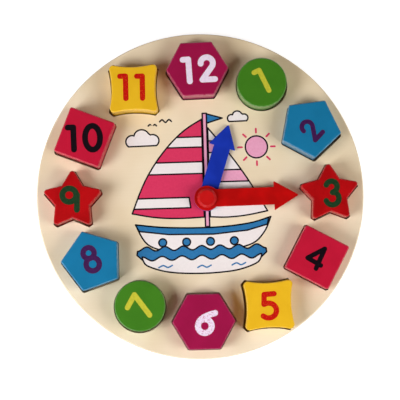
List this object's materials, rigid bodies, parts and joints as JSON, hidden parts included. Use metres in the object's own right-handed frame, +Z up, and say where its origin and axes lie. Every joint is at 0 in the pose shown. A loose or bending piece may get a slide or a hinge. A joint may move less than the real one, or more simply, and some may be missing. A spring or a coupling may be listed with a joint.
{
  "type": "shape-sorting teaching clock",
  "caption": "Round wooden teaching clock with two turning arrow hands and lift-out painted number blocks in matching shaped pockets.",
  "frame": {"origin": "centre of the board's underside", "axes": "+Z up out of the dial, +Y towards twelve o'clock, +X towards three o'clock"},
  "size_m": [0.2201, 0.22, 0.019],
  "materials": {
    "back_ply": "plain sanded plywood",
    "face_ply": "sanded plywood under clear lacquer, printed in the middle",
    "green_paint": "solid wood under gloss water-based paint",
    "blue_paint": "solid wood under gloss water-based paint",
    "red_paint": "solid wood under gloss water-based paint",
    "crimson_paint": "solid wood under gloss water-based paint",
    "yellow_paint": "solid wood under gloss water-based paint",
    "magenta_paint": "solid wood under gloss water-based paint",
    "hour_hand_plastic": "moulded, glossy",
    "minute_hand_plastic": "moulded, glossy",
    "washer_plastic": "natural nylon",
    "rivet_plastic": "moulded, glossy",
    "socket_plastic": "moulded, satin"
  },
  "bodies": {
    "board": {"back_board": "back_ply", "face_board": "face_ply", "lower_washer": "washer_plastic", "spacer_washer": "washer_plastic", "pivot_rivet": "rivet_plastic", "rivet_socket": "socket_plastic"},
    "hour_hand": {"hour_hand": "hour_hand_plastic"},
    "minute_hand": {"minute_hand": "minute_hand_plastic"},
    "number_block_1": {"number_block_1": "green_paint"},
    "number_block_2": {"number_block_2": "blue_paint"},
    "number_block_3": {"number_block_3": "red_paint"},
    "number_block_4": {"number_block_4": "crimson_paint"},
    "number_block_5": {"number_block_5": "yellow_paint"},
    "number_block_6": {"number_block_6": "magenta_paint"},
    "number_block_7": {"number_block_7": "green_paint"},
    "number_block_8": {"number_block_8": "blue_paint"},
    "number_block_9": {"number_block_9": "red_paint"},
    "number_block_10": {"number_block_10": "crimson_paint"},
    "number_block_11": {"number_block_11": "yellow_paint"},
    "number_block_12": {"number_block_12": "magenta_paint"}
  },
  "joints": [
    {"name": "hour_hand_turn", "type": "hinge", "parent": "board", "child": "hour_hand", "pos_m": [0.0044, -0.0033, 0.0097], "axis": [0, 0, -1], "continuous": true},
    {"name": "minute_hand_turn", "type": "hinge", "parent": "board", "child": "minute_hand", "pos_m": [0.0044, -0.0033, 0.0121], "axis": [0, 0, -1], "continuous": true},
    {"name": "number_block_1_lift", "type": "slide", "parent": "board", "child": "number_block_1", "axis": [0, 0, 1], "range_m": [0, 0.03]},
    {"name": "number_block_2_lift", "type": "slide", "parent": "board", "child": "number_block_2", "axis": [0, 0, 1], "range_m": [0, 0.03]},
    {"name": "number_block_3_lift", "type": "slide", "parent": "board", "child": "number_block_3", "axis": [0, 0, 1], "range_m": [0, 0.03]},
    {"name": "number_block_4_lift", "type": "slide", "parent": "board", "child": "number_block_4", "axis": [0, 0, 1], "range_m": [0, 0.03]},
    {"name": "number_block_5_lift", "type": "slide", "parent": "board", "child": "number_block_5", "axis": [0, 0, 1], "range_m": [0, 0.03]},
    {"name": "number_block_6_lift", "type": "slide", "parent": "board", "child": "number_block_6", "axis": [0, 0, 1], "range_m": [0, 0.03]},
    {"name": "number_block_7_lift", "type": "slide", "parent": "board", "child": "number_block_7", "axis": [0, 0, 1], "range_m": [0, 0.03]},
    {"name": "number_block_8_lift", "type": "slide", "parent": "board", "child": "number_block_8", "axis": [0, 0, 1], "range_m": [0, 0.03]},
    {"name": "number_block_9_lift", "type": "slide", "parent": "board", "child": "number_block_9", "axis": [0, 0, 1], "range_m": [0, 0.03]},
    {"name": "number_block_10_lift", "type": "slide", "parent": "board", "child": "number_block_10", "axis": [0, 0, 1], "range_m": [0, 0.03]},
    {"name": "number_block_11_lift", "type": "slide", "parent": "board", "child": "number_block_11", "axis": [0, 0, 1], "range_m": [0, 0.03]},
    {"name": "number_block_12_lift", "type": "slide", "parent": "board", "child": "number_block_12", "axis": [0, 0, 1], "range_m": [0, 0.03]}
  ]
}
